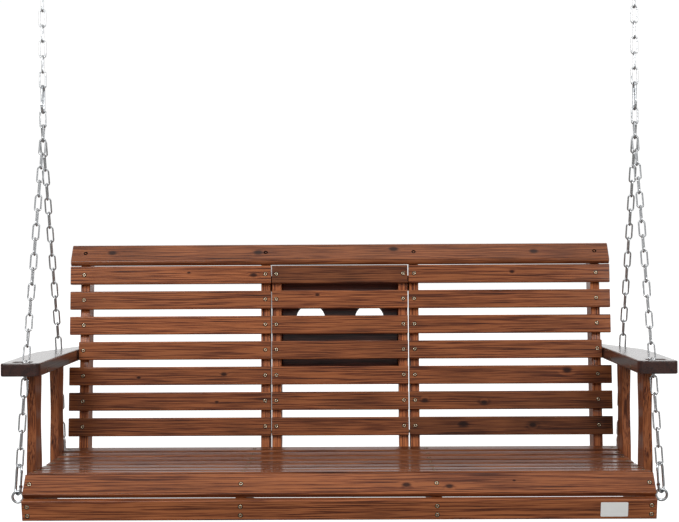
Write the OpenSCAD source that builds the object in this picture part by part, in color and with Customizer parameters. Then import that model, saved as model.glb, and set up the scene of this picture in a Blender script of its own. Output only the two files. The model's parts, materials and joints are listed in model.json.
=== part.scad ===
// Hanging porch swing bench with a fold-down console in its back.
// X runs along the bench, Y to the rear and Z up. The origin lies midway between
// the two ceiling hooks, on the line that the bench swings about.

/* [Seat] */
// Length of the slats, end to end
seat_length = 1400; // [1300:5:1500]
// Depth of the seat from its front edge to the last slat's rear edge
seat_depth = 449; // [430:1:480]
// Width of a seat slat
seat_slat_width = 45; // [36:1:50]
// How far the middle of the seat dips below a straight line
seat_dip = 10; // [0:1:20]
// How much higher the front edge is than the rear
seat_rise = 5; // [0:1:15]
// Thickness of the slats
slat_thickness = 18; // [15:1:22]
// Radius on the long edges of the slats
slat_edge = 3; // [1:0.5:4]
// Width of the sloping nose slat
nose_width = 53; // [48:1:60]
// Thickness of the nose slat
nose_thickness = 16; // [14:1:18]
// Lean of the nose slat's face from upright
nose_tilt = 40.7; // [35:0.1:45]
// Width of the front apron
apron_width = 47; // [44:1:54]
// Lean of the apron's face under the seat
apron_tilt = 12; // [6:1:14]

/* [Frame] */
// Thickness of the joists
joist_thickness = 24; // [20:1:28]
// Depth of the joists below the seat slats, at the rear
joist_depth = 74; // [68:1:90]
// Distance of an inner joist's centre from the middle
inner_joist_x = 217; // [205:1:240]
// How far the joists run behind the back's posts
joist_tail = 38; // [34:1:60]
// Thickness of the back's posts
post_thickness = 24; // [20:1:28]
// Depth of the back's posts
post_depth = 61; // [50:1:70]

/* [Back] */
// Gap from the seat's rear edge to the face of the back
back_gap = 28; // [24:1:36]
// Lean of the back from upright
recline = 5.7; // [3:0.1:9]
// Width of a back slat
back_slat_width = 47; // [40:1:50]
// Gap between two back slats
back_slat_gap = 18.4; // [16:0.1:23]
// Height of the lowest back slat above the seat
back_start = 24; // [18:1:30]
// Width of the cap rail
cap_width = 63; // [58:1:74]
// Thickness of the cap rail
cap_thickness = 20; // [16:1:22]
// Lean of the cap rail from upright
cap_tilt = 39; // [30:1:45]

/* [Console] */
// Thickness of the console's side stiles
stile_thickness = 24; // [20:1:26]
// Gap between the console and the fixed sections
console_gap = 4.7; // [4:0.1:7]
// Height of the console's table board
table_height = 246; // [220:1:255]
// Thickness of the table board
table_thickness = 16; // [12:1:18]
// Diameter of a cup hole
cup_diameter = 76; // [68:0.5:80]
// Distance between the two cup holes
cup_spacing = 155; // [140:1:170]
// Diameter of the console's hinge bolts
hinge_bolt = 8; // [6:1:10]

/* [Arms] */
// Height of the arm tops above the seat's rear edge
arm_height = 247; // [230:1:270]
// Thickness of the arms
arm_thickness = 30; // [24:1:32]
// Width of an arm at its front end
arm_front_width = 89; // [80:1:94]
// Greatest width of an arm
arm_width = 91; // [86:1:96]
// Length of an arm
arm_length = 577; // [560:1:590]
// Distance of the arm's front end behind the seat's front edge
arm_setback = 43; // [35:1:50]
// Width of the chain slot in an arm
chain_slot = 36; // [22:0.5:38]
// Thickness of the arm supports
support_thickness = 21; // [18:1:24]
// Width of an arm support at its ends
support_width = 74; // [60:1:78]
// Width of an arm support at its waist
support_waist = 56; // [40:1:60]

/* [Hanging] */
// Distance of the hanging line behind the seat's front edge
hang_setback = 366; // [350:0.1:380]
// Distance of each hanging chain outside the slats' ends
hang_outset = 36; // [30:1:42]
// Height of the swing line above the seat's rear edge
hang_height = 1134; // [1100:1:1200]
// Wire diameter of the chain
chain_wire = 4; // [3:0.5:5]
// Outer width of a chain link
link_width = 18.5; // [17:0.5:20]
// Pitch of the chain
chain_pitch = 38.2; // [36:0.1:40]
// Number of links in each upper chain
upper_links = 6; // [4:1:8]
// Wire diameter of the snap hooks
hook_wire = 6; // [5:0.5:7]
// Inside length of a snap hook
hook_length = 60; // [56:1:66]
// Outer width of a snap hook
hook_width = 32; // [30:1:36]
// Wire diameter of the eye bolts
eye_wire = 6; // [5:0.5:7]
// Shank diameter of the eye bolts
eye_shank = 8; // [7:0.5:9]
// Outer diameter of an eye bolt's ring
eye_diameter = 30.8; // [29:0.2:34]
// Wire diameter of the ceiling hooks
ceiling_wire = 9; // [8:0.5:10]
// Outer diameter of a ceiling hook's ring
ceiling_ring = 37; // [36:0.5:42]
// Length of a ceiling hook's screw shank
ceiling_shank = 70; // [50:1:90]

/* [Fastenings] */
// Diameter of the screw heads
screw_head = 8; // [6:0.5:9]
// Diameter of the screw shanks
screw_shank = 4; // [3:0.5:5]
// Diameter of the frame bolts
frame_bolt = 8; // [6:0.5:10]

/* [Hidden] */

wood = "#6b3a28";
dark_wood = "#3a231d";
steel = "#b9bcc0";
plate_white = "#e9e9e6";

running_fit = 0.05;   // round a turning pin, on the radius
bolt_fit = 0.15;      // round a bolt that only clamps, on the radius
seat_play = 0.3;      // between pieces of two bodies, or a link and its neighbour
screw_proud = 0.6;    // how far a screw head stands out
screw_length = 32;
washer_thickness = 1.6;
seat_slats = 7;
back_rows = 7;

// ---- Points in the plane of the joists, as [Y, Z] ----

function unit(v) = v / norm(v);
function turned(v, a) = [v.x * cos(a) - v.y * sin(a), v.x * sin(a) + v.y * cos(a)];

// Corner p between a and b, replaced by an arc of radius r
function corner(a, p, b, r, steps) =
    let (u = unit(a - p), v = unit(b - p), half = acos(u * v) / 2)
    let (centre = p + unit(u + v) * r / sin(half))
    let (from = p + u * r / tan(half) - centre, to = p + v * r / tan(half) - centre)
    [for (i = [0:steps]) centre + turned(from, sign(cross(from, to)) * (180 - 2 * half) * i / steps)];

// Outline through points [x, y, radius]
function rounded(points, steps = 4) = let (n = len(points))
    [for (i = [0:n - 1]) let (p = points[i], a = points[(i + n - 1) % n], b = points[(i + 1) % n])
        each p[2] == 0 ? [[p.x, p.y]]
            : corner([a.x, a.y], [p.x, p.y], [b.x, b.y], p[2], steps)];

// A board's cross-section, w wide and t thick, its top face on the line y = 0
function board(w, t, r) =
    rounded([[-w / 2, 0, r], [w / 2, 0, r], [w / 2, -t, r], [-w / 2, -t, r]], 3);

// A rectangle about the origin with round corners
function plate(w, h, r) =
    rounded([[-w / 2, -h / 2, r], [w / 2, -h / 2, r], [w / 2, h / 2, r], [-w / 2, h / 2, r]]);

front_y = -hang_setback;
rear_y = front_y + seat_depth;
seat_z = -hang_height;
half_length = seat_length / 2;
hang_x = half_length + hang_outset;
seat_pitch = (seat_depth - nose_thickness * cos(nose_tilt) - seat_slat_width - 2) / (seat_slats - 0.8);

// Height of the seat's surface at a distance y, and its slope there
function seat_height(y) = let (s = (rear_y - y) / seat_depth)
    seat_z + seat_rise * s - 4 * seat_dip * s * (1 - s);
function seat_slope(y) = let (s = (rear_y - y) / seat_depth)
    -atan((seat_rise - 4 * seat_dip * (1 - 2 * s)) / seat_depth);
function slat_y(k) = rear_y - seat_slat_width / 2 - (k - 1) * seat_pitch;
function slat_point(k, along, up) =
    [slat_y(k), seat_height(slat_y(k))] + turned([along, up], seat_slope(slat_y(k)));

// The nose slat's face runs from nose_top down to nose_low, the apron's below it
nose_down = [-sin(nose_tilt), -cos(nose_tilt)];
nose_in = [cos(nose_tilt), -sin(nose_tilt)];
nose_top = [front_y, seat_height(front_y) - 2];
nose_low = nose_top + nose_width * nose_down;
apron_down = [sin(apron_tilt), -cos(apron_tilt)];
apron_in = [cos(apron_tilt), sin(apron_tilt)];
apron_top = nose_low + [-8.5, -12.6];
apron_low = apron_top + apron_width * apron_down;

// Points of the back: n is the depth behind its face, v the height along it
back_up = [sin(recline), cos(recline)];
back_in = [cos(recline), -sin(recline)];
back_foot = [rear_y + back_gap, seat_z];
function back(n, v) = back_foot + n * back_in + v * back_up;
back_top = back_start + back_rows * back_slat_width + (back_rows - 1) * back_slat_gap;
post_back = slat_thickness + post_depth;

// The cap rail's section is a board with round edges between two centres
cap_radius = cap_thickness / 2;
cap_gap = 1.6;
cap_up = [sin(cap_tilt), cos(cap_tilt)];
cap_in = [cos(cap_tilt), -sin(cap_tilt)];
cap_low = back(cap_radius, back_top + cap_gap + cap_radius);
cap_high = cap_low + (cap_width - cap_thickness) * cap_up;

joist_floor = seat_z - slat_thickness - joist_depth;
joist_end = back(post_back, 0).x + joist_tail;

// X places
outer_joist_x = half_length - joist_thickness / 2;
outer_post_x = half_length - joist_thickness - post_thickness / 2;
inner_post_x = inner_joist_x - joist_thickness / 2 - post_thickness / 2;
console_half = inner_post_x - post_thickness / 2 - console_gap;
stile_x = console_half - stile_thickness / 2;
section_end = console_half + 2.4;
arm_in = half_length - joist_thickness + 2;

// Turns a solid drawn in [Y, Z] into one of thickness t, centred on X = x
module sideways(x, t) {
    translate([x, 0, 0]) rotate([90, 0, 90]) linear_extrude(t, center = true) children();
}

// Moves the origin to a and turns Z to run from a to b, keeping X nearly level
module along(a, b) {
    ez = unit(b - a);
    ex = unit([1, 0, 0] - ez.x * ez);
    ey = cross(ez, ex);
    multmatrix([[ex.x, ey.x, ez.x, a.x], [ex.y, ey.y, ez.y, a.y], [ex.z, ey.z, ez.z, a.z]])
        children();
}

// ---- Bolt places, as [Y, Z] ----

support_floor = joist_floor + 6;
arm_front = front_y + arm_setback;
arm_rear = arm_front + arm_length;
front_support_y = arm_front + 0.165 * arm_length;
rear_support_y = arm_front + 0.6035 * arm_length;
arm_top = seat_z + arm_height;
arm_floor = arm_top - arm_thickness;
post_bolts = [for (v = [-44, -72]) back(slat_thickness + post_depth / 2, v)];
function support_bolts(y) = [for (z = [18, 44]) [y + (z - 31) / 2, support_floor + z]];
support_places = [front_support_y, rear_support_y];
eye_z = seat_z - 57;
front_eye_y = front_y + 56;
rear_eye_y = joist_end - 33;
eye_radius = eye_diameter / 2 - eye_wire / 2;
eye_x = half_length + 14.6 + eye_diameter / 2;
// The console turns about a bolt that lets its slats come down flat on the seat
hinge_n = 30;
hinge_v = (hinge_n * (1 + sin(recline)) + 0.5) / cos(recline);
hinge_point = back(hinge_n, hinge_v);

module bore_at(p, x, t, d) {
    translate([x, p.x, p.y]) rotate([0, 90, 0]) cylinder(h = t, d = d, center = true, $fn = 32);
}

// ---- Seat ----

module seat_slat(k) {
    color(wood) sideways(0, seat_length) translate(slat_point(k, 0, 0)) rotate(seat_slope(slat_y(k)))
        polygon(board(seat_slat_width, slat_thickness, slat_edge));
}

module nose_slat() {
    color(wood) sideways(0, seat_length) translate((nose_top + nose_low) / 2)
        rotate(90 - nose_tilt) polygon(board(nose_width, nose_thickness, 2.5));
}

module front_apron() {
    color(wood) sideways(0, seat_length) translate((apron_top + apron_low) / 2)
        rotate(90 + apron_tilt) polygon(board(apron_width, slat_thickness, slat_edge));
}

plate_size = [60, 33, 1];
plate_x = half_length - 94;
module name_plate() {
    face = (apron_top + apron_low) / 2;
    color(plate_white) translate([plate_x, face.x, face.y]) rotate([90 + apron_tilt, 0, 0])
        linear_extrude(plate_size.z) polygon(plate(plate_size.x, plate_size.y, 2));
}

// Flat seats under every slat, the nose slat and the apron, then round to the tail
joist_outline = concat(
    [for (k = [1:seat_slats]) each [slat_point(k, seat_slat_width / 2, -slat_thickness),
                                    slat_point(k, -seat_slat_width / 2, -slat_thickness)]],
    [nose_top + nose_thickness * nose_in, nose_low + nose_thickness * nose_in,
     apron_top + slat_thickness * apron_in, apron_low + slat_thickness * apron_in,
     [apron_low.x + 40, joist_floor], [joist_end - 16, joist_floor], [joist_end, joist_floor + 16],
     [joist_end, seat_z - slat_thickness - 12], [joist_end - 8, seat_z - slat_thickness - 4]]);

module joist(x, t) {
    color(wood) difference() {
        sideways(x, joist_thickness) polygon(joist_outline);
        for (p = post_bolts) bore_at(p, x, t, frame_bolt + 2 * bolt_fit);
        if (abs(x) > inner_joist_x) {
            for (y = support_places, p = support_bolts(y)) bore_at(p, x, t, frame_bolt + 2 * bolt_fit);
            for (y = [front_eye_y, rear_eye_y]) bore_at([y, eye_z], x, t, eye_shank + 2 * bolt_fit);
        }
    }
}

// ---- Back ----

cap_rear_low = cap_low + cap_radius * cap_in;
cap_rear_high = cap_high + cap_radius * cap_in;
post_front_v = ((cap_rear_low - back(slat_thickness, 0)) * cap_in) / (back_up * cap_in);
post_rear_v = (cap_rear_high.y - back(post_back, 0).y) / cos(recline);
post_drop = -84;

module post(x) {
    color(wood) difference() {
        sideways(x, post_thickness) polygon([
            back(slat_thickness, post_drop), back(slat_thickness, post_front_v), cap_rear_high,
            back(post_back, post_rear_v), back(post_back, post_drop)]);
        for (p = post_bolts) bore_at(p, x, 2 * post_thickness, frame_bolt + 2 * bolt_fit);
        if (abs(x) < inner_joist_x)
            bore_at(hinge_point, x, 2 * post_thickness, hinge_bolt + 2 * bolt_fit);
    }
}

function row_v(row) = back_top - (row - 0.5) * back_slat_width - (row - 1) * back_slat_gap;

module back_slat(row, x0, x1) {
    color(wood) sideways((x0 + x1) / 2, x1 - x0) translate(back(0, row_v(row)))
        rotate(90 - recline) polygon(board(back_slat_width, slat_thickness, slat_edge));
}

// The fourth slat from the top stops at the post, where the arm passes
module side_slats() {
    for (row = [1:back_rows])
        back_slat(row, section_end, row == 4 ? half_length - joist_thickness : half_length);
}

module cap_rail() {
    steps = 8;
    length = cap_width - cap_thickness;
    color(wood) sideways(0, seat_length) translate(cap_low) rotate(90 - cap_tilt)
        polygon([for (i = [0:steps]) cap_radius * [-sin(180 * i / steps), cos(180 * i / steps)],
                 for (i = [0:steps]) [length, 0]
                     + cap_radius * [sin(180 * i / steps), -cos(180 * i / steps)]]);
}

stop_rail = [40, 18];
stop_v = 422;
module console_stop_rail() {
    color(wood) sideways(0, 2 * inner_post_x + post_thickness) translate(back(post_back, stop_v))
        rotate(90 - recline) polygon(rounded([[-stop_rail.x / 2, 0, 0], [stop_rail.x / 2, 0, 0],
            [stop_rail.x / 2, -stop_rail.y, slat_edge], [-stop_rail.x / 2, -stop_rail.y, slat_edge]]));
}

// ---- Console ----

stile_foot = -12;
stile_top = 452;
stile_back = post_back - seat_play;
table_foot = 185;
cup_v = table_foot + 0.577 * table_height;
table_n = stile_back - 0.7 - table_thickness;

module console_slats() {
    for (row = [1:back_rows]) back_slat(row, -console_half, console_half);
}

module console_stile(x) {
    color(wood) difference() {
        sideways(x, stile_thickness) polygon(rounded([
            concat(back(slat_thickness, stile_foot), 0), concat(back(slat_thickness, stile_top), 0),
            concat(back(stile_back, stile_top), 12), concat(back(stile_back, stile_foot), 20)]));
        bore_at(hinge_point, x, 2 * stile_thickness, hinge_bolt + 2 * running_fit);
    }
}

module console_table() {
    color(dark_wood) difference() {
        sideways(0, 2 * console_half - 2 * stile_thickness)
            translate(back(table_n + table_thickness, table_foot + table_height / 2))
            rotate(-90 - recline) polygon(board(table_height, table_thickness, 2));
        for (x = [-1, 1] * cup_spacing / 2)
            translate([x, back(table_n - 5, cup_v).x, back(table_n - 5, cup_v).y])
                rotate([-90 - recline, 0, 0])
                cylinder(h = table_thickness + 10, d = cup_diameter, $fn = 64);
    }
}

// Bolts along X, the head's flat at x, running inwards over a grip
module dome_bolt(p, x, grip, d) {
    translate([x, p.x, p.y]) rotate([0, 90, 0]) rotate_extrude($fn = 32)
        polygon([[0, d * 0.45], [d * 0.5, d * 0.38], [d * 0.9, d * 0.2], [d * 1.05, 0], [d / 2, 0],
                 [d / 2, -grip + 1], [d / 2 - 1, -grip], [0, -grip]]);
}

module nut_at(p, x, d) {
    translate([x, p.x, p.y]) rotate([0, 90, 0]) difference() {
        union() {
            cylinder(h = washer_thickness, d = d * 2.1, $fn = 32);
            translate([0, 0, washer_thickness]) cylinder(h = d * 0.8, d = d * 1.85, $fn = 6);
        }
        translate([0, 0, -1]) cylinder(h = 3 * d, d = d + 2 * running_fit, $fn = 32);
    }
}

// A nut that faces the middle of the bench
module inner_nut(p, x, d) {
    translate([2 * x, 0, 0]) mirror([1, 0, 0]) nut_at(p, x, d);
}

// left is 1 for the left side and 0 for the right
both_sides = [0, 1];
module mirrored(left) {
    if (left == 1) mirror([1, 0, 0]) children();
    else children();
}

nut_reach = washer_thickness + frame_bolt * 0.8 + 3;
module frame_bolts() {
    color(steel) for (left = both_sides) mirrored(left) {
        for (p = post_bolts) {
            dome_bolt(p, half_length, joist_thickness + post_thickness + nut_reach, frame_bolt);
            dome_bolt(p, inner_joist_x + joist_thickness / 2,
                joist_thickness + post_thickness + nut_reach, frame_bolt);
        }
        for (y = support_places, p = support_bolts(y))
            dome_bolt(p, half_length + support_thickness,
                support_thickness + joist_thickness + nut_reach, frame_bolt);
    }
}

module frame_nuts() {
    color(steel) for (left = both_sides) mirrored(left) {
        for (p = post_bolts) {
            inner_nut(p, outer_post_x - post_thickness / 2, frame_bolt);
            inner_nut(p, inner_post_x - post_thickness / 2, frame_bolt);
        }
        for (y = support_places, p = support_bolts(y))
            inner_nut(p, half_length - joist_thickness, frame_bolt);
    }
}

// The bolt's nut stays a little clear of the stile, so that the console turns freely
module console_hinge_bolts() {
    stile_inside = console_half - stile_thickness - seat_play;
    color(steel) for (left = both_sides) mirrored(left) {
        dome_bolt(hinge_point, inner_post_x + post_thickness / 2,
            inner_post_x + post_thickness / 2 - stile_inside + nut_reach, hinge_bolt);
        inner_nut(hinge_point, stile_inside, hinge_bolt);
    }
}

// ---- Screws ----

// A countersunk screw in a face whose board is turned by a in the [Y, Z] plane
module screw(x, p, a) {
    r = screw_head / 2;
    s = screw_shank / 2;
    color(steel) translate([x, p.x, p.y]) rotate([a, 0, 0]) difference() {
        rotate_extrude($fn = 24) polygon([[0, screw_proud], [r - 0.5, screw_proud], [r, 0.2], [r, 0],
            [s, s - r], [s, -screw_length + s], [0, -screw_length]]);
        for (t = [0, 90]) rotate(t) translate([0, 0, screw_proud])
            cube([screw_head * 0.55, 1, 1.6], center = true);
    }
}

module on_joists(p, a) {
    for (x = [-outer_joist_x, -inner_joist_x, inner_joist_x, outer_joist_x]) screw(x, p, a);
}

module seat_screws() {
    for (k = [1:seat_slats]) on_joists(slat_point(k, 0, 0), seat_slope(slat_y(k)));
    on_joists((nose_top + nose_low) / 2, 90 - nose_tilt);
    for (s = [0.28, 0.72])
        on_joists(apron_top + s * apron_width * apron_down, 90 + apron_tilt);
}

module back_screws() {
    for (x = [-outer_post_x, -inner_post_x, inner_post_x, outer_post_x]) {
        for (row = [1:back_rows]) screw(x, back(0, row_v(row)), 90 - recline);
        screw(x, (cap_low + cap_high) / 2 - cap_radius * cap_in, 90 - cap_tilt);
    }
    for (x = [-inner_post_x, inner_post_x])
        screw(x, back(post_back + stop_rail.y, stop_v), -90 - recline);
}

module console_screws() {
    for (x = [-stile_x, stile_x], row = [1:back_rows])
        screw(x, back(0, row_v(row)), 90 - recline);
    color(steel) for (left = both_sides, s = [0.12, 0.5, 0.88]) mirrored(left) {
        p = back(table_n + table_thickness / 2, table_foot + s * table_height);
        translate([console_half, p.x, p.y]) rotate([0, 90, 0]) screw(0, [0, 0], 0);
    }
}

// ---- Arms ----

slot_y = arm_front + 40;
slot_inset = 46.5;
slot_length = 45;
tenon = [40, 14];
arm_edge = 3;

module arm_outline() {
    polygon([for (p = rounded([[0, arm_front, 20], [arm_front_width, arm_front, 10],
            [arm_width, arm_front + 0.45 * arm_length, 0.7 * arm_length],
            [arm_width - 3, arm_front + 0.64 * arm_length, 0.2 * arm_length],
            [20, arm_rear, 12], [0, arm_rear, 7]])) [arm_in + p.x, p.y]]);
}

module arm() {
    color(dark_wood) difference() {
        hull() for (s = [[0, arm_edge], [0.3, arm_edge * 0.3], [1, 0]])
            translate([0, 0, arm_floor + s[1]]) linear_extrude(arm_thickness - 2 * s[1])
                offset(delta = -s[0] * arm_edge) arm_outline();
        translate([arm_in + slot_inset, slot_y, arm_floor - 1]) linear_extrude(arm_thickness + 2)
            polygon(plate(slot_length, chain_slot, 8));
        for (y = support_places)
            translate([half_length - bolt_fit, y - tenon.x / 2 - bolt_fit, arm_floor - 1])
                cube([support_thickness + 2 * bolt_fit, tenon.x + 2 * bolt_fit, tenon.y + 1 + bolt_fit]);
    }
}

// Hourglass board between the joist and the arm, with a tenon up into the arm
module support(y) {
    steps = 16;
    curve_foot = seat_z - 6;
    rise = arm_floor - curve_foot;
    half = [for (i = [0:steps]) support_waist / 2
        + (support_width - support_waist) / 2 * (0.5 + 0.5 * cos(360 * i / steps))];
    color(wood) difference() {
        sideways(half_length + support_thickness / 2, support_thickness) polygon(concat(
            [[y + support_width / 2, support_floor], [y - support_width / 2, support_floor]],
            [for (i = [0:steps]) [y - half[i], curve_foot + rise * i / steps]],
            [[y - tenon.x / 2, arm_floor], [y - tenon.x / 2, arm_floor + tenon.y],
             [y + tenon.x / 2, arm_floor + tenon.y], [y + tenon.x / 2, arm_floor]],
            [for (i = [steps:-1:0]) [y + half[i], curve_foot + rise * i / steps]]));
        for (p = support_bolts(y))
            bore_at(p, half_length, 4 * support_thickness, frame_bolt + 2 * bolt_fit);
    }
}

// One screw through the arm's inner edge into each support's tenon
module arm_screws() {
    color(steel) for (left = both_sides, y = support_places) mirrored(left)
        translate([arm_in, y, arm_floor + tenon.y * 0.6]) rotate([0, -90, 0]) screw(0, [0, 0], 0);
}

// ---- Chains, for the right side ----

link_half = (link_width - chain_wire) / 2;
top_contact = ceiling_wire / 2 + 0.2;
branch_z = top_contact - (upper_links + 1) * chain_pitch - hook_length;
// The two legs hang side by side in the last link's round end
leg_spread = chain_wire / 2 + 0.3;
end_play = link_half - chain_wire;
fork_z = branch_z + end_play - sqrt(end_play * end_play - leg_spread * leg_spread) + 0.2;
front_ring = [eye_x, front_eye_y, eye_z + eye_radius - eye_wire / 2 - seat_play];
rear_ring = [eye_x, rear_eye_y, front_ring.z];
front_bend = [arm_in + 38.4, slot_y, arm_top];
rear_bend = [arm_in + 61, arm_rear - 66, arm_top + 12];
front_hook_top = front_ring + hook_length * unit(front_bend - front_ring);
rear_hook_top = rear_ring + hook_length * unit(rear_bend - rear_ring);

// A link lies in the X-Z plane, with its middle at the origin
module link(inner) {
    // In fiftieths of a millimetre, so that the round ends meet the straight sides exactly
    straight = round((inner + chain_wire - 2 * link_half) * 50) / 50;
    for (s = [-1, 1]) {
        translate([s * link_half, 0, -straight / 2])
            cylinder(h = straight, d = chain_wire, $fn = 24);
        translate([0, 0, s * straight / 2]) rotate([s * 90, 0, 0])
            rotate_extrude(angle = 180, $fn = 32) translate([link_half, 0])
            circle(d = chain_wire, $fn = 24);
    }
}

// Point at a distance s along the path a, b, c
function on_path(a, b, c, s) = let (ab = norm(b - a))
    s <= ab ? a + s * unit(b - a) : b + (s - ab) * unit(c - b);

module leg(start, bend, end) {
    length = norm(bend - start) + norm(end - bend);
    count = 2 * round(length / chain_pitch / 2);
    step = length / count;
    color(steel) for (k = [0:count - 1]) {
        a = on_path(start, bend, end, k * step);
        b = on_path(start, bend, end, (k + 1) * step);
        along(a, b) translate([0, 0, norm(b - a) / 2]) rotate([0, 0, k % 2 == 0 ? 90 : 0])
            link(step + seat_play);
    }
}

module upper_chain() {
    color(steel) for (k = [0:upper_links - 1])
        translate([hang_x, 0, top_contact - (k + 0.5) * chain_pitch])
            rotate([0, 0, k % 2 == 0 ? 90 : 0]) link(chain_pitch + seat_play);
}

// The link that both legs hang from goes with the front leg
module front_chain() {
    leg([hang_x - leg_spread, 0, fork_z], front_bend, front_hook_top);
    color(steel) translate([hang_x, 0, branch_z + chain_pitch / 2]) link(chain_pitch + seat_play);
}

module rear_chain() {
    leg([hang_x + leg_spread, 0, fork_z], rear_bend, rear_hook_top);
}

module ceiling_hook() {
    ring = (ceiling_ring - ceiling_wire) / 2;
    color(steel) translate([hang_x, 0, ring]) {
        rotate([90, 0, 0]) rotate([0, 0, 90]) rotate_extrude(angle = 300, $fn = 64)
            translate([ring, 0]) circle(d = ceiling_wire, $fn = 32);
        translate([0, 0, ring]) cylinder(h = ceiling_shank, d = ceiling_wire + 0.5, $fn = 32);
        translate([0, 0, ring + ceiling_wire * 0.6]) cylinder(h = 4, d = ceiling_wire * 2.2, $fn = 48);
    }
}

// ---- Snap hooks: the gate is on the -Y side, pivoted near the lower end ----

hook_half = (hook_width - hook_wire) / 2;
hook_inner = hook_length + seat_play;
hook_straight = (hook_inner + hook_wire) / 2 - hook_half;
gate_pivot_z = 5 - hook_straight;
gate_tip_z = hook_straight - 5;
gate_pin = 2.4;
tongue = 3;
hook_turn = 38;

module snap_hook() {
    cheek = hook_wire / 2 + 0.2;
    color(steel) {
        translate([0, hook_half, -hook_straight])
            cylinder(h = 2 * hook_straight, d = hook_wire, $fn = 24);
        for (s = [-1, 1]) translate([0, 0, s * hook_straight]) rotate([0, 0, 90])
            rotate([s * 90, 0, 0]) rotate_extrude(angle = 180, $fn = 48)
            translate([hook_half, 0]) circle(d = hook_wire, $fn = 24);
        translate([0, -hook_half, gate_tip_z + seat_play])
            cylinder(h = hook_straight - gate_tip_z - seat_play, d = hook_wire, $fn = 24);
        translate([0, -hook_half, 0]) difference() {
            union() {
                translate([0, 0, -hook_straight])
                    cylinder(h = gate_pivot_z + hook_straight, d = hook_wire, $fn = 24);
                translate([-cheek, 0, gate_pivot_z]) rotate([0, 90, 0])
                    cylinder(h = 2 * cheek, r = cheek, $fn = 32);
            }
            translate([-tongue / 2 - 0.2, -10, gate_pivot_z - cheek - 0.3]) cube([tongue + 0.4, 20, 20]);
            translate([-10, 0, gate_pivot_z]) rotate([0, 90, 0])
                cylinder(h = 20, d = gate_pin + 2 * running_fit, $fn = 24);
        }
    }
}

module gate_pin_piece() {
    reach = hook_wire / 2 + 0.5;
    color(steel) translate([-reach, -hook_half, gate_pivot_z]) rotate([0, 90, 0])
        cylinder(h = 2 * reach, d = gate_pin, $fn = 24);
}

module gate() {
    d = hook_wire - 1;
    color(steel) translate([0, -hook_half, 0]) difference() {
        union() {
            translate([-tongue / 2, 0, gate_pivot_z]) rotate([0, 90, 0])
                cylinder(h = tongue, r = hook_wire / 2, $fn = 32);
            translate([-tongue / 2, -d / 2 + 0.2, gate_pivot_z]) cube([tongue, d - 0.4, 6]);
            translate([0, 0, gate_pivot_z + 4.5])
                cylinder(h = gate_tip_z - gate_pivot_z - 4.5, d = d, $fn = 24);
        }
        translate([-10, 0, gate_pivot_z]) rotate([0, 90, 0])
            cylinder(h = 20, d = gate_pin + 2 * running_fit, $fn = 24);
    }
}

// Where each kind of hook hangs, on the right side
upper_hook_z = branch_z + chain_pitch + hook_length / 2;
module at_upper_hook() { translate([hang_x, 0, upper_hook_z]) children(); }
module at_front_hook() {
    along(front_ring, front_hook_top) translate([0, 0, hook_length / 2])
        rotate([0, 0, -hook_turn]) children();
}
module at_rear_hook() {
    along(rear_ring, rear_hook_top) translate([0, 0, hook_length / 2])
        rotate([0, 0, -hook_turn]) children();
}

module upper_snap_hooks() { for (left = both_sides) mirrored(left) at_upper_hook() snap_hook(); }
module front_snap_hooks() { for (left = both_sides) mirrored(left) at_front_hook() snap_hook(); }
module rear_snap_hooks() { for (left = both_sides) mirrored(left) at_rear_hook() snap_hook(); }
module snap_hook_pins() {
    for (left = both_sides) mirrored(left) {
        at_upper_hook() gate_pin_piece();
        at_front_hook() gate_pin_piece();
        at_rear_hook() gate_pin_piece();
    }
}

module eye_bolt(y) {
    inside = half_length - joist_thickness - nut_reach;
    color(steel) translate([0, y, eye_z]) {
        translate([eye_x, 0, 0]) rotate([90, 0, 0]) rotate_extrude($fn = 64)
            translate([eye_radius, 0]) circle(d = eye_wire, $fn = 24);
        translate([inside, 0, 0]) rotate([0, 90, 0])
            cylinder(h = eye_x - eye_radius - inside, d = eye_shank, $fn = 32);
    }
}

module eye_bolt_nuts() {
    color(steel) for (left = both_sides, y = [front_eye_y, rear_eye_y]) mirrored(left) {
        nut_at([y, eye_z], half_length, eye_shank);
        inner_nut([y, eye_z], half_length - joist_thickness, eye_shank);
    }
}

module front_eye_bolts() { for (left = both_sides) mirrored(left) eye_bolt(front_eye_y); }
module rear_eye_bolts() { for (left = both_sides) mirrored(left) eye_bolt(rear_eye_y); }

mirrored(1) ceiling_hook();  // left_ceiling_hook
ceiling_hook();  // right_ceiling_hook
mirrored(1) upper_chain();  // left_upper_chain
upper_chain();  // right_upper_chain
mirrored(1) front_chain();  // left_front_chain
front_chain();  // right_front_chain
mirrored(1) rear_chain();  // left_rear_chain
rear_chain();  // right_rear_chain
upper_snap_hooks();
front_snap_hooks();
rear_snap_hooks();
snap_hook_pins();
mirrored(1) at_upper_hook() gate();  // left_upper_gate
at_upper_hook() gate();  // right_upper_gate
mirrored(1) at_front_hook() gate();  // left_front_gate
at_front_hook() gate();  // right_front_gate
mirrored(1) at_rear_hook() gate();  // left_rear_gate
at_rear_hook() gate();  // right_rear_gate
front_eye_bolts();
rear_eye_bolts();
eye_bolt_nuts();
seat_slat(1);  // seat_slat_1
seat_slat(2);  // seat_slat_2
seat_slat(3);  // seat_slat_3
seat_slat(4);  // seat_slat_4
seat_slat(5);  // seat_slat_5
seat_slat(6);  // seat_slat_6
seat_slat(7);  // seat_slat_7
nose_slat();
front_apron();
name_plate();
joist(-outer_joist_x, 2 * joist_thickness);  // left_outer_joist
joist(-inner_joist_x, 2 * joist_thickness);  // left_inner_joist
joist(inner_joist_x, 2 * joist_thickness);  // right_inner_joist
joist(outer_joist_x, 2 * joist_thickness);  // right_outer_joist
post(-outer_post_x);  // left_outer_post
post(-inner_post_x);  // left_inner_post
post(inner_post_x);  // right_inner_post
post(outer_post_x);  // right_outer_post
mirrored(1) side_slats();  // left_back_slats
side_slats();  // right_back_slats
cap_rail();
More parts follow.
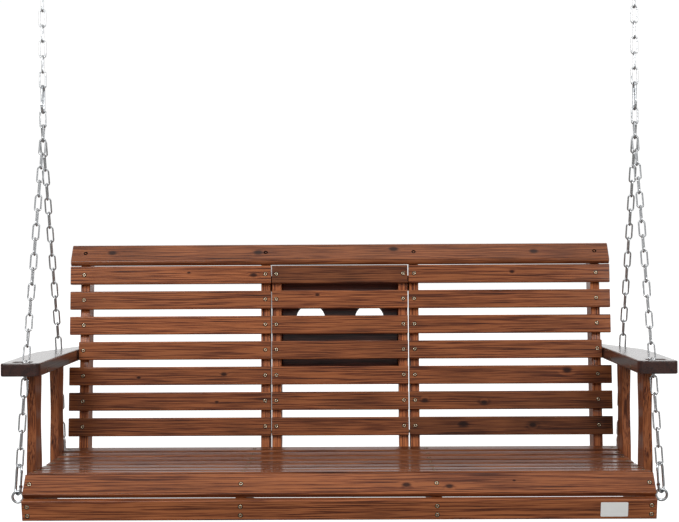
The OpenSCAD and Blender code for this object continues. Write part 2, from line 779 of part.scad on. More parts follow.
console_stop_rail();
mirrored(1) arm();  // left_arm
arm();  // right_arm
mirrored(1) support(front_support_y);  // left_front_support
mirrored(1) support(rear_support_y);  // left_rear_support
support(front_support_y);  // right_front_support
support(rear_support_y);  // right_rear_support
console_slats();
console_stile(-stile_x);  // left_console_stile
console_stile(stile_x);  // right_console_stile
console_table();
console_hinge_bolts();
seat_screws();
back_screws();
console_screws();
arm_screws();
frame_bolts();
frame_nuts();
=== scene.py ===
import json
import math
import bmesh
import bpy
import numpy as np
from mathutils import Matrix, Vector


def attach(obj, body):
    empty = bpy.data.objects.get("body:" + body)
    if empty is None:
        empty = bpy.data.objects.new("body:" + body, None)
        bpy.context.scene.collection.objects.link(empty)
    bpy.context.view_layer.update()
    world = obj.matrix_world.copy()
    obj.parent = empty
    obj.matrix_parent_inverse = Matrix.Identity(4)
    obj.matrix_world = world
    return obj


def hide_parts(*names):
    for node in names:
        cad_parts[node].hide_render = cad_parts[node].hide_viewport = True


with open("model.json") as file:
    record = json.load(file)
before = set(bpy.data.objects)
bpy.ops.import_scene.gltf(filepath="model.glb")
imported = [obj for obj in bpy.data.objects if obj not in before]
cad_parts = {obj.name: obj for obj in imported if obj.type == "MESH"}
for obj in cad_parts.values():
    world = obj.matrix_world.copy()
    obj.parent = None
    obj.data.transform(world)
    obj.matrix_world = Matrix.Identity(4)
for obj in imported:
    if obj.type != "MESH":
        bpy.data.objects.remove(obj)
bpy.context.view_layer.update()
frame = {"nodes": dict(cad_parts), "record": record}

nodes = frame["nodes"]
bodyOf = {n: body for body, names in frame["record"]["behaviour"]["bodies"].items() for n in names}
slotOf = {s["node"]: s["material_slot"] for s in frame["record"]["subparts"]}
dice = np.random.default_rng(11)


def hexColour(text):  # sRGB hex to linear
    rgb = [int(text[i:i + 2], 16) / 255 for i in (1, 3, 5)]
    return [c / 12.92 if c <= 0.04045 else ((c + 0.055) / 1.055) ** 2.4 for c in rgb] + [1.0]


# Where the camera stands, in metres, and its frame in pixels
shot = {"distance": 3.5180, "height": -0.6329, "focalPx": 1414.0, "widthPx": 679, "heightPx": 522,
        "centreX": 339.0, "horizonY": 249.7, "roll": 0.3, "turn": 0.5, "sensor": 36.0}


def placeCamera():
    data = bpy.data.cameras.new("shotCamera")
    camera = bpy.data.objects.new("shotCamera", data)
    bpy.context.scene.collection.objects.link(camera)
    turn = math.radians(shot["turn"])
    far = shot["distance"]
    camera.location = (far * math.sin(turn), -far * math.cos(turn), shot["height"])
    camera.rotation_euler = (math.radians(90), math.radians(shot["roll"]), turn)
    data.sensor_width = shot["sensor"]
    data.lens = shot["focalPx"] / shot["widthPx"] * shot["sensor"]
    data.shift_x = (shot["widthPx"] / 2 - shot["centreX"]) / shot["widthPx"]
    data.shift_y = (shot["horizonY"] - shot["heightPx"] / 2) / shot["widthPx"]
    data.clip_end = 60
    bpy.context.scene.camera = camera


placeCamera()
print("camera placed")


def newMaterial(name):
    material = bpy.data.materials.new(name)
    material.use_nodes = True
    material.node_tree.nodes.clear()
    return material


def addNode(tree, kind, settings=None, inputs=None):
    node = tree.nodes.new("ShaderNode" + kind)
    for key, value in (settings or {}).items():
        setattr(node, key, value)
    for key, value in (inputs or {}).items():
        if isinstance(value, bpy.types.NodeSocket):
            tree.links.new(value, node.inputs[key])
        else:
            node.inputs[key].default_value = value
    return node


def calculate(tree, operation, *values, clamp=False):
    settings = {"operation": operation, "use_clamp": clamp}
    return addNode(tree, "Math", settings, dict(enumerate(values))).outputs[0]


def vectorMath(tree, operation, *values):
    return addNode(tree, "VectorMath", {"operation": operation}, dict(enumerate(values))).outputs[0]


def vectorLength(tree, vector):
    return addNode(tree, "VectorMath", {"operation": "LENGTH"}, {0: vector}).outputs["Value"]


# From low to high while the value goes from start to stop, in a straight line or smoothly
def ramp(tree, value, start, stop, low=0.0, high=1.0, smooth=False):
    return addNode(tree, "MapRange", {"interpolation_type": "SMOOTHSTEP" if smooth else "LINEAR"},
                   {0: value, 1: start, 2: stop, 3: low, 4: high}).outputs[0]


# Each colour is a hex text or another node's output
def mixColours(tree, share, *colours):
    first, second = (hexColour(c) if isinstance(c, str) else c for c in colours)
    return addNode(tree, "MixRGB", None, {"Fac": share, "Color1": first, "Color2": second}).outputs[0]


# Every wooden piece carries two attributes. "grain" is a point's place in its own board, in metres:
# along the fibres, across them and deep into them, the last two counted from the tree's pith.
# "tone" is how much lighter or darker the board is: mostly how it took the stain, but it also carries painted
# shade (the arms' shadow on the slat ends, shade on the lower back rows) and painted light (posts, stiles and
# table set back in shade).

# Knots, as board: (place along, place across, radius) in metres. A board is a node and its row.
knots = {
    ("cap_rail", 0): [(-0.594, 0.001, 0.0075), (-0.213, 0.001, 0.0080), (0.141, 0.010, 0.0080),
                      (0.506, 0.0, 0.0075)],
    ("left_back_slats", 1): [(-0.392, 0.006, 0.0030), (-0.224, -0.001, 0.0062)],
    ("left_back_slats", 5): [(-0.300, 0.004, 0.0055), (-0.520, -0.004, 0.0035)],
    ("left_back_slats", 6): [(-0.318, -0.002, 0.0035)],
    ("right_back_slats", 1): [(0.447, 0.004, 0.0042)],
    ("right_back_slats", 5): [(0.585, 0.010, 0.0070)],
    ("right_back_slats", 6): [(0.218, 0.0, 0.0062), (0.370, -0.006, 0.0062)],
    ("right_back_slats", 7): [(0.316, 0.004, 0.0075), (0.494, 0.002, 0.0070)],
    ("console_slats", 2): [(-0.058, 0.012, 0.0040)],
    ("nose_slat", 0): [(0.150, -0.004, 0.0065), (0.245, -0.008, 0.0058), (0.389, 0.006, 0.0025)],
}
knotPlaces = []  # the same knots in grain coordinates, filled in as the boards are made
# A knot is longer than it is wide. From the outer distance to the inner one, in knot radii, the
# rings swell by a share of the radius, and the colour of the knot comes in
knotShape = {"squash": 0.62, "swellOuter": 2.4, "swellInner": 0.3, "swell": 0.3,
             "coreOuter": 1.35, "coreInner": 0.45, "coreShare": 0.92}

# How often each pattern repeats in a metre: along the board, across it and into it
woodPatterns = {
    "wave": {"repeats": (4, 24, 24), "detail": 2, "roughness": 0.5},  # 250 mm long, 40 mm wide
    # fibres are 0.1 mm wide in fir: drawn 1.8 mm wide and 125 mm long, so that they show
    "fibre": {"repeats": (8, 560, 560), "detail": 3, "roughness": 0.6},
    "band": {"repeats": (5, 160, 160), "detail": 2, "roughness": 0.5},  # stain, 200 mm long, 6 mm wide
    "blotch": {"repeats": (8, 16, 16), "detail": 1, "roughness": 0.5},  # 125 mm long, 60 mm wide
}
# In one growth ring, from its start to the next one's: where the dark late wood comes in and ends.
# The rings run almost straight along the board, at this slope
ringShape = {"rise": (0.42, 0.85), "drop": (0.86, 1.0), "slope": 0.004}
# How much darker fibres and bands make a point, and how much lighter blotches do: factor, offset
woodShares = {"fibre": (4.6, -2.32), "band": (0.4, -0.03), "blotch": (0.6, 0.7), "bumpRing": 0.5,
              "bumpStrength": 0.6, "fibreRange": (0.3, 0.7)}

# Stained, lacquered fir: growth rings cut lengthwise give long dark and light lines, the stain
# settles unevenly, and the satin lacquer gives a soft sheen that fades the lines at low angles
redStain = {"light": "#a3613a", "middle": "#723b23", "dark": "#3f1f13", "knot": "#2a0f07",
            "ringPitch": 0.0028, "ringShare": 0.38, "waveSize": 0.003, "specular": 0.12,
            "roughness": 0.42, "roughSpread": 0.16, "coat": 0.42, "coatRoughness": 0.14, "bump": 0.0003}
# The same fir under a dark stain and a glossier lacquer: almost black, with bright sharp reflections
darkStain = {"light": "#43241c", "middle": "#2e1713", "dark": "#1a0c09", "knot": "#0a0504",
             "ringPitch": 0.0028, "ringShare": 0.4, "waveSize": 0.003, "specular": 0.4,
             "roughness": 0.34, "roughSpread": 0.12, "coat": 0.9, "coatRoughness": 0.18, "bump": 0.0003}


def woodPattern(tree, place, kind):
    spec = woodPatterns[kind]
    return addNode(tree, "TexNoise", None, {
        "Vector": vectorMath(tree, "MULTIPLY", place, spec["repeats"]), "Scale": 1,
        "Detail": spec["detail"], "Roughness": spec["roughness"]})


# The distance from the pith, which slow waves bend and knots swell, and that to the nearest knot
def ringRadius(tree, grain, waveSize, places):
    wave = woodPattern(tree, grain, "wave").outputs["Color"]
    centred = vectorMath(tree, "SUBTRACT", wave, (0.5, 0.5, 0.5))
    shifted = vectorMath(tree, "MULTIPLY_ADD", centred, (0, waveSize * 2, waveSize * 2), grain)
    radius = vectorLength(tree, vectorMath(tree, "MULTIPLY", shifted, (ringShape["slope"], 1, 1)))
    near = None
    for along, across, size in places:
        apart = vectorMath(tree, "SUBTRACT", grain, (along, across, 0))
        far = vectorLength(tree, vectorMath(tree, "MULTIPLY", apart, (knotShape["squash"] / size, 1 / size, 0)))
        near = far if near is None else calculate(tree, "MINIMUM", near, far)
        swell = ramp(tree, far, knotShape["swellOuter"], knotShape["swellInner"],
                     0.0, knotShape["swell"] * size, smooth=True)
        radius = calculate(tree, "ADD", radius, swell)
    return radius, near


def stainedFir(name, finish, places):
    material = newMaterial(name)
    tree = material.node_tree
    grain = addNode(tree, "Attribute", {"attribute_name": "grain"}).outputs["Vector"]
    tone = addNode(tree, "Attribute", {"attribute_name": "tone"}).outputs["Fac"]
    radius, near = ringRadius(tree, grain, finish["waveSize"], places)
    part = calculate(tree, "FRACT", calculate(tree, "DIVIDE", radius, finish["ringPitch"]))
    late = calculate(tree, "MULTIPLY", ramp(tree, part, *ringShape["rise"], smooth=True),
                     ramp(tree, part, *ringShape["drop"], 1.0, 0.0, smooth=True))
    fibre, band, blotch = (woodPattern(tree, grain, kind).outputs[0] for kind in ("fibre", "band", "blotch"))
    # how dark a point is: rings, fibres and bands together
    rings = calculate(tree, "MULTIPLY", late, finish["ringShare"])
    lines = calculate(tree, "ADD", calculate(tree, "MULTIPLY_ADD", fibre, *woodShares["fibre"]),
                      calculate(tree, "MULTIPLY_ADD", band, *woodShares["band"]))
    depth = calculate(tree, "ADD", rings, lines, clamp=True)
    pale = mixColours(tree, ramp(tree, depth, 0.0, 0.5), finish["light"], finish["middle"])
    colour = mixColours(tree, ramp(tree, depth, 0.5, 1.0), pale, finish["dark"])
    if near:
        core = ramp(tree, near, knotShape["coreOuter"], knotShape["coreInner"], 0.0, knotShape["coreShare"],
                    smooth=True)
        colour = mixColours(tree, core, colour, finish["knot"])
    shade = calculate(tree, "ADD", tone, calculate(tree, "MULTIPLY_ADD", blotch, *woodShares["blotch"]))
    stained = addNode(tree, "VectorMath", {"operation": "SCALE"}, {0: colour, "Scale": shade}).outputs[0]
    half = finish["roughSpread"] / 2
    rough = ramp(tree, fibre, *woodShares["fibreRange"], finish["roughness"] - half, finish["roughness"] + half)
    height = calculate(tree, "MULTIPLY_ADD", late, woodShares["bumpRing"], fibre)
    bump = addNode(tree, "Bump", None, {
        "Strength": woodShares["bumpStrength"], "Distance": finish["bump"], "Height": height}).outputs[0]
    shader = addNode(tree, "BsdfPrincipled", None, {
        "Base Color": stained, "Roughness": rough, "Normal": bump, "Specular IOR Level": finish["specular"],
        "Coat Weight": finish["coat"], "Coat Roughness": finish["coatRoughness"]})
    addNode(tree, "OutputMaterial", None, {"Surface": shader.outputs[0]})
    return material


# A clouded colour and a fine grit, in the piece's own coordinates
def cloudAndGrit(tree, finish, detail, roughness):
    place = addNode(tree, "TexCoord").outputs["Object"]
    cloud = addNode(tree, "TexNoise", None, {
        "Vector": place, "Scale": 1 / finish["patch"], "Detail": detail, "Roughness": roughness}).outputs[0]
    grit = addNode(tree, "TexNoise", None, {"Vector": place, "Scale": 1 / finish["grit"], "Detail": 1})
    bump = addNode(tree, "Bump", None, {
        "Strength": finish["gritStrength"], "Distance": finish["gritHeight"], "Height": grit.outputs[0]})
    return cloud, bump.outputs[0]


# Low-carbon steel. Galvanised: dipped in zinc, a pale grey with faint cloudy patches and soft highlights.
# Zinc plated: thinner, smoother and brighter, with sharp highlights and a slight blue cast, and on
# the screws a pale yellow one. Every wire is darker where it turns away from the eye
# The dark colour darkens the marked parts of the screws: real stain on the cap rail's screws, and painted shade
# in the other screws' recesses and countersink rims
metalSkin = {"grit": 1 / 1500, "gritHeight": 0.0001, "gritStrength": 0.25, "roughSpread": 0.10,
             "stainAndShadeColour": "#1c120c", "cloudRange": (0.35, 0.65), "roughRange": (0.3, 0.7)}
metalFinish = {
    "galvanised_chain": {**metalSkin, "name": "galvanisedSteel", "light": "#f6f7f8", "dark": "#c4c7ca",
                         "patch": 0.004, "roughness": 0.24, "roughSpread": 0.12, "edge": "#16171a"},
    "zinc_plated_fittings": {**metalSkin, "name": "zincPlatedSteel", "light": "#eff1f3", "dark": "#c6cace",
                             "patch": 0.009, "roughness": 0.22, "edge": "#2c2f33"},
    "zinc_plated_screws": {**metalSkin, "name": "yellowZincScrewSteel", "light": "#f3e8cf", "dark": "#cfc09c",
                           "patch": 0.003, "roughness": 0.26, "edge": "#a0a0a0"},
}


def coatedSteel(finish):
    material = newMaterial(finish["name"])
    tree = material.node_tree
    cloud, bump = cloudAndGrit(tree, finish, 3, 0.6)
    colour = mixColours(tree, ramp(tree, cloud, *finish["cloudRange"]), finish["dark"], finish["light"])
    # darkened where the pieces are marked: stain on some screws, painted shade in screw recesses and rims
    stainAndShade = addNode(tree, "Attribute", {"attribute_name": "stainAndShade"}).outputs["Fac"]
    half = finish["roughSpread"] / 2
    rough = ramp(tree, cloud, *finish["roughRange"], finish["roughness"] + half, finish["roughness"] - half)
    shader = addNode(tree, "BsdfPrincipled", None, {
        "Base Color": mixColours(tree, stainAndShade, colour, finish["stainAndShadeColour"]), "Metallic": 1.0, "Roughness": rough,
        "Normal": bump, "Specular Tint": hexColour(finish["edge"])})
    addNode(tree, "OutputMaterial", None, {"Surface": shader.outputs[0]})
    return material


# Enamelled aluminium plate: an even off-white with a satin sheen
plateFinish = {"light": "#fafaf8", "dark": "#efefec", "patch": 0.02, "roughness": 0.35,
               "grit": 1 / 900, "gritHeight": 0.0001, "gritStrength": 0.15}


def enamelledPlate():
    material = newMaterial("enamelledAluminium")
    tree = material.node_tree
    cloud, bump = cloudAndGrit(tree, plateFinish, 2, 0.5)
    shader = addNode(tree, "BsdfPrincipled", None, {
        "Base Color": mixColours(tree, cloud, plateFinish["dark"], plateFinish["light"]),
        "Roughness": plateFinish["roughness"], "Normal": bump})
    addNode(tree, "OutputMaterial", None, {"Surface": shader.outputs[0]})
    return material


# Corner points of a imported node's mesh, each once, and its triangles as numbers of them
def mergedMesh(node):
    mesh = nodes[node].data
    points = np.empty(len(mesh.vertices) * 3)
    mesh.vertices.foreach_get("co", points)
    corners = np.empty(len(mesh.loops), int)
    mesh.loops.foreach_get("vertex_index", corners)
    points, number = np.unique(np.round(points.reshape(-1, 3), 6), axis=0, return_inverse=True)
    return points, number.ravel()[corners].reshape(-1, 3)


# Label of a separate solid: the lowest point number reached through shared edges
def separateSolids(points, triangles):
    a, b = triangles.ravel(), np.roll(triangles, 1, axis=1).ravel()
    label = np.arange(len(points))
    while True:
        low = np.minimum(label[a], label[b])
        spread = label.copy()
        np.minimum.at(spread, a, low)
        np.minimum.at(spread, b, low)
        if (spread == label).all():
            return [points[label == k] for k in np.unique(label)]
        label = spread


def newPiece(name, points, faces, node, material, attributes=None):
    mesh = bpy.data.meshes.new(name)
    mesh.from_pydata(points.tolist(), [], faces)
    mesh.polygons.foreach_set("use_smooth", [True] * len(mesh.polygons))
    for key, values in (attributes or {}).items():
        kind, field = ("FLOAT_VECTOR", "vector") if values.ndim == 2 else ("FLOAT", "value")
        mesh.attributes.new(key, kind, "POINT").data.foreach_set(field, values.astype(np.float32).ravel())
    mesh.materials.append(material)
    mesh.update()
    piece = bpy.data.objects.new(name, mesh)
    bpy.context.scene.collection.objects.link(piece)
    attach(piece, bodyOf[node])
    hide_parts(node)
    return piece


boardCount = [0]
# Boards lie this far apart in grain coordinates, and the pith is beside and below each by these ranges
boardPlaces = {"apart": 3.0, "beside": (0.010, 0.060), "below": (0.020, 0.060)}


# Grain coordinates of one board: every board comes from its own place in its own tree
def boardGrain(along, across, deep, node, row, tone):
    boardCount[0] += 1
    start = boardPlaces["apart"] * boardCount[0]
    pith = (dice.choice((-1, 1)) * dice.uniform(*boardPlaces["beside"]), dice.uniform(*boardPlaces["below"]))
    for place, height, size in knots.get((node, row), []):
        knotPlaces.append((place + start, height - pith[0], size))
    grain = np.stack([along + start, across - pith[0], deep + pith[1]], -1)
    return {"grain": grain, "tone": np.full(len(grain), tone)}


# Edge radius along each kind of board, how far the sawn ends are eased, and the places near the ends
# where more points let the painted arm shadow change the tone. A board's outer face looks forwards and up
boards = {"edge": {"cap_rail": 0.00999, "nose_slat": 0.0025}, "plainEdge": 0.003, "endEdge": 0.001,
          "arcSteps": 5, "endSteps": 4, "keep": 0.0005, "armShadowPlaces": [0.03, 0.06, 0.10],
          "outward": (-1.0, 0.5)}
# How light each board is, top row first, and the range of the boards not named here: how it took the stain, and
# on the lower back rows also painted shade near the seat
tones = {
    "left_back_slats": [0.22, 0.10, 0.30, 0.14, -0.04, -0.05, -0.06],
    "right_back_slats": [0.04, 0.06, 0.06, -0.02, -0.08, -0.24, -0.42],
    "console_slats": [-0.36, 0.14, 0.09, -0.10, 0.03, -0.10, -0.08],
    "cap_rail": [-0.10], "nose_slat": [0.0], "front_apron": [0.10],
}
otherTones = (-0.32, -0.08)
# Painted shadow of the arms: how much darker the outer 100 mm of the slats beside and under the arms are, top
# row first
armShadowTones = {"left_back_slats": [0, 0, 0, 0, -0.15, -0.35, -0.45],
            "right_back_slats": [0, 0, 0, -0.1, -0.25, -0.3, -0.25]}
# Places along X where the painted arm shadow starts, and how far it takes to reach full strength
armShadowReach = {"from": 0.60, "over": 0.09}  # places along X


# A rectangle with round corners: four quarter circles about centres that stay put while the ring
# shrinks by inset, and a point a little way along each flat that keeps its shading flat
def sectionRing(width, thick, radius, inset, keep):
    halfWide, halfThick = width / 2 - radius, thick / 2 - radius
    ring = []
    for k, (sx, sy) in enumerate([(1, 1), (-1, 1), (-1, -1), (1, -1)]):
        turn = np.linspace(0, math.pi / 2, boards["arcSteps"] + 1) + k * math.pi / 2
        arc = np.stack([sx * halfWide + (radius - inset) * np.cos(turn),
                        sy * halfThick + (radius - inset) * np.sin(turn)], 1)
        before, after = (halfThick, halfWide) if k % 2 == 0 else (halfWide, halfThick)
        if before > keep:
            ring.append(arc[:1] - keep * np.array([[-math.sin(turn[0]), math.cos(turn[0])]]))
        ring.append(arc)
        if after > keep:
            ring.append(arc[-1:] + keep * np.array([[-math.sin(turn[-1]), math.cos(turn[-1])]]))
    return np.concatenate(ring)


# One board: its section carried along X. The last rings shrink on a quarter circle, which eases
# the sawn end. The section's middle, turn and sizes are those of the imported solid.
def boardSurface(solid, radius):
    section = solid[:, 1:]
    middle = (section.max(0) + section.min(0)) / 2
    spread = np.linalg.svd(section - section.mean(0), full_matrices=False)[2]
    normal = spread[1] if spread[1] @ boards["outward"] > 0 else -spread[1]
    across = np.array([normal[1], -normal[0]])
    reach = (section - middle) @ np.stack([across, normal], 1)
    middle = middle + ((reach.max(0) + reach.min(0)) / 2) @ np.stack([across, normal])
    width, thick = reach.max(0) - reach.min(0)
    low, high = solid[:, 0].min(), solid[:, 0].max()
    end, keep = boards["endEdge"], boards["keep"]
    turn = np.linspace(math.pi / 2, 0, boards["endSteps"] + 1)
    more = [end + keep] + boards["armShadowPlaces"]
    out = np.concatenate([[0], end - end * np.sin(turn), more])
    inset = np.concatenate([[end + keep], end - end * np.cos(turn), [0] * len(more)])
    places = np.concatenate([low + out, high - out[::-1]])
    insets = np.concatenate([inset, inset[::-1]])
    rings = np.stack([sectionRing(width, thick, radius, i, keep) for i in insets])
    count = rings.shape[1]
    yz = middle + rings @ np.stack([across, normal])
    x = np.broadcast_to(places[:, None, None], (len(places), count, 1))
    points = np.concatenate([x, yz], 2).reshape(-1, 3)
    i, j = np.meshgrid(np.arange(len(places) - 1), np.arange(count), indexing="ij")
    here, beside = i * count + j, i * count + (j + 1) % count
    quads = np.stack([here, beside, beside + count, here + count], -1).reshape(-1, 4).tolist()
    last = (len(places) - 1) * count
    caps = [list(range(count))[::-1], [last + k for k in range(count)]]
    flat = rings.reshape(-1, 2)
    return points, quads + caps, flat[:, 0], flat[:, 1]


def boardPiece(node, material):
    solids = sorted(separateSolids(*mergedMesh(node)), key=lambda s: -s[:, 2].mean())
    radius = boards["edge"].get(node, boards["plainEdge"])
    points, faces, attributes, total = [], [], [], 0
    for row, solid in enumerate(solids):
        p, f, across, deep = boardSurface(solid, radius)
        tone = tones[node][row] if node in tones else dice.uniform(*otherTones)
        number = row + 1 if len(solids) > 1 else 0
        attributes.append(boardGrain(p[:, 0], across, deep, node, number, tone))
        # darker towards the outer ends under the arms: a painted shadow of the arms, added to the tone
        if node in armShadowTones:
            share = np.clip((np.abs(p[:, 0]) - armShadowReach["from"]) / armShadowReach["over"], 0, 1)
            attributes[-1]["tone"] += armShadowTones[node][row] * share
        points.append(p)
        faces += [[k + total for k in face] for face in f]
        total += len(p)
    joined = {key: np.concatenate([a[key] for a in attributes]) for key in ("grain", "tone")}
    return newPiece(node + "_wood", np.concatenate(points), faces, node, material, joined)


# Pieces sawn to a shape: the ways their grain runs and the radius on their edges
lean = math.radians(5.7)
upBack, inBack = (0, math.sin(lean), math.cos(lean)), (0, math.cos(lean), -math.sin(lean))
sawn = {"joist": {"along": (0, 1, 0), "across": (0, 0, 1), "round": 0.002},
        "post": {"along": upBack, "across": inBack, "round": 0.002},
        "stile": {"along": upBack, "across": inBack, "round": 0.002},
        "support": {"along": (0, 0, 1), "across": (0, 1, 0), "round": 0.003},
        "table": {"along": (1, 0, 0), "across": upBack, "round": 0.0025},
        "rail": {"along": (1, 0, 0), "across": upBack, "round": 0.0015}}


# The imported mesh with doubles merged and, where asked, flat faces made whole
def cleanCopy(node, flatten):
    work = bmesh.new()
    work.from_mesh(nodes[node].data)
    bmesh.ops.remove_doubles(work, verts=work.verts, dist=1e-6)
    if flatten:
        bmesh.ops.dissolve_limit(work, angle_limit=math.radians(1), verts=work.verts, edges=work.edges)
    mesh = bpy.data.meshes.new(node)
    work.to_mesh(mesh)
    work.free()
    points = np.empty(len(mesh.vertices) * 3)
    mesh.vertices.foreach_get("co", points)
    faces = [list(face.vertices) for face in mesh.polygons]
    bpy.data.meshes.remove(mesh)
    return points.reshape(-1, 3), faces


def roundedEdges(piece, width, segments):
    bevel = piece.modifiers.new("roundedEdges", "BEVEL")
    bevel.width, bevel.segments = width, segments
    bevel.limit_method, bevel.angle_limit = "ANGLE", math.radians(35)
    bevel.use_clamp_overlap = False
    bevel.harden_normals = True


def sawnPiece(node, kind, material, tone):
    shape = sawn[kind]
    points, faces = cleanCopy(node, True)
    along, across = np.array(shape["along"]), np.array(shape["across"])
    deep = np.cross(along, across)
    offset = points - points.mean(0)
    attributes = boardGrain(offset @ along, offset @ across, offset @ deep, node, 0, tone)
    piece = newPiece(node + "_wood", points, faces, node, material, attributes)
    roundedEdges(piece, shape["round"], 3)
    return piece


# The arm's outline, in metres and in shares of its length: widest a little before its middle, with a
# shoulder behind that, and a narrow tail. The corners' radii go round from the inner front one
arm = {"in": 0.678, "front": -0.3230, "length": 0.577, "top": -0.887, "floor": -0.917,
       "frontWidth": 0.089, "width": 0.091, "tailWidth": 0.020, "widestAt": 0.45, "shoulderAt": 0.64,
       "shoulderIn": 0.003, "round": 0.003, "slotRound": 0.002, "keep": 0.0006,
       "slotX": 0.7245, "slotY": -0.2830, "slotLong": 0.045, "slotWide": 0.036, "slotCorner": 0.008,
       "outlineStep": 0.009, "slotStep": 0.001, "sheetRings": (0.15, 0.4, 0.7, 1.0)}
arm["radii"] = [0.020, 0.010, 0.7 * arm["length"], 0.2 * arm["length"], 0.012, 0.007]


# Each corner becomes an arc that touches both its sides, at radius / tan(half angle) from it
def roundedOutline(corners, radii, steps=9):
    corners = np.array(corners, float)
    out = []
    for i, (p, r) in enumerate(zip(corners, radii)):
        u = corners[i - 1] - p
        v = corners[(i + 1) % len(corners)] - p
        u, v = u / np.linalg.norm(u), v / np.linalg.norm(v)
        half = math.acos(u @ v) / 2
        centre = p + (u + v) / np.linalg.norm(u + v) * r / math.sin(half)
        start, stop = p + u * r / math.tan(half) - centre, p + v * r / math.tan(half) - centre
        first = math.atan2(start[1], start[0])
        sweep = (math.atan2(stop[1], stop[0]) - first + math.pi) % (2 * math.pi) - math.pi
        turn = first + sweep * np.linspace(0, 1, steps)
        out.append(centre + r * np.stack([np.cos(turn), np.sin(turn)], 1))
    return np.concatenate(out)


# Points along a closed outline: its own, and more at even steps between them
def evenRing(outline, step):
    closed = np.concatenate([outline, outline[:1]])
    walked = np.concatenate([[0], np.cumsum(np.linalg.norm(np.diff(closed, axis=0), axis=1))])
    more = np.arange(0, walked[-1], step)
    more = more[np.abs(more[:, None] - walked).min(1) > step * 0.4]
    places = np.sort(np.concatenate([walked[:-1], more]))
    return np.stack([np.interp(places, walked, closed[:, k]) for k in (0, 1)], 1)


# The arm as a ring-shaped sheet round its chain slot. One parameter runs round the outline. The
# other runs from the slot's wall over the top, on a quarter circle down the outer edge, and back
# underneath. Between slot and edge a point is a blend of the two outlines along a ray.
def armSurface():
    front, long = arm["front"], arm["length"]
    corners = [(0, front), (arm["frontWidth"], front), (arm["width"], front + arm["widestAt"] * long),
               (arm["width"] - arm["shoulderIn"], front + arm["shoulderAt"] * long),
               (arm["tailWidth"], front + long), (0, front + long)]
    outline = evenRing(roundedOutline(corners, arm["radii"]) + (arm["in"], 0), arm["outlineStep"])
    along = np.roll(outline, -1, axis=0) - np.roll(outline, 1, axis=0)
    outward = np.stack([along[:, 1], -along[:, 0]], 1) / np.linalg.norm(along, axis=1)[:, None]
    centre = np.array([arm["slotX"], arm["slotY"]])
    away = outline - centre
    angle = np.arctan2(away[:, 1], away[:, 0])
    a, b = arm["slotLong"] / 2, arm["slotWide"] / 2
    slotCorners = [(-a, -b), (a, -b), (a, b), (-a, b)]
    slot = evenRing(roundedOutline(slotCorners, [arm["slotCorner"]] * len(slotCorners)), arm["slotStep"])
    slotAngle = np.arctan2(slot[:, 1], slot[:, 0])
    order = np.argsort(slotAngle)
    reach = np.interp(angle, slotAngle[order], np.linalg.norm(slot, axis=1)[order], period=2 * math.pi)
    ray = away / np.linalg.norm(away, axis=1)[:, None]
    inner = centre + ray * reach[:, None]
    top, floor, r, s, keep = (arm[k] for k in ("top", "floor", "round", "slotRound", "keep"))
    turn = np.linspace(0, math.pi / 2, 7)
    rings = [(inner, floor + s), (inner, top - s)]
    rings += [(inner + ray * s * (1 - math.cos(t)), top - s + s * math.sin(t)) for t in turn[2::2]]
    rings += [(inner + ray * (s + keep), top)]
    near, far = inner + ray * (s + keep), outline - outward * (r + keep)
    rings += [(near + (far - near) * k, top) for k in arm["sheetRings"]]
    rings += [(outline - outward * r * (1 - math.sin(t)), top - r + r * math.cos(t)) for t in turn]
    rings += [(outline, top - r - keep), (outline, floor + r + keep)]
    rings += [(outline - outward * r * (1 - math.cos(t)), floor + r - r * math.sin(t)) for t in turn]
    rings += [(near + (far - near) * k, floor) for k in arm["sheetRings"][::-1]]
    rings += [(inner + ray * (s + keep), floor)]
    rings += [(inner + ray * s * (1 - math.sin(t)), floor + s - s * math.cos(t)) for t in turn[:-1:2]]
    flat = np.stack([np.concatenate([xy, np.full((len(xy), 1), z)], 1) for xy, z in rings])
    rows, count = flat.shape[:2]
    i, j = np.meshgrid(np.arange(rows), np.arange(count), indexing="ij")
    here, beside = i * count + j, i * count + (j + 1) % count
    under = (i + 1) % rows * count
    quads = np.stack([here, under + j, under + (j + 1) % count, beside], -1)
    return flat.reshape(-1, 3), quads.reshape(-1, 4)


def armPiece(node, side, material, tone):
    points, faces = armSurface()
    points = points * (side, 1, 1)
    if side < 0:
        faces = faces[:, ::-1]
    across, deep = points[:, 0] - side * 0.72, points[:, 2] + 0.9  # from about the board's middle
    attributes = boardGrain(points[:, 1], across, deep, node, 0, tone)
    return newPiece(node + "_wood", points, faces.tolist(), node, material, attributes)


# A round head in a countersink: the cross recess reaches "recess" out and its bars are twice "arm"
# wide. Screws above "stainedAbove", those of the cap rail, are covered by the stain
# The head's skirt out to "rim" times its radius is a dark ring of painted shade at the countersink's edge
screwShape = {"head": 0.004, "proud": 0.0006, "recess": 0.0028, "arm": 0.0012, "deep": 0.0018,
              "rim": 1.35, "around": 24, "stainedAbove": -0.67}


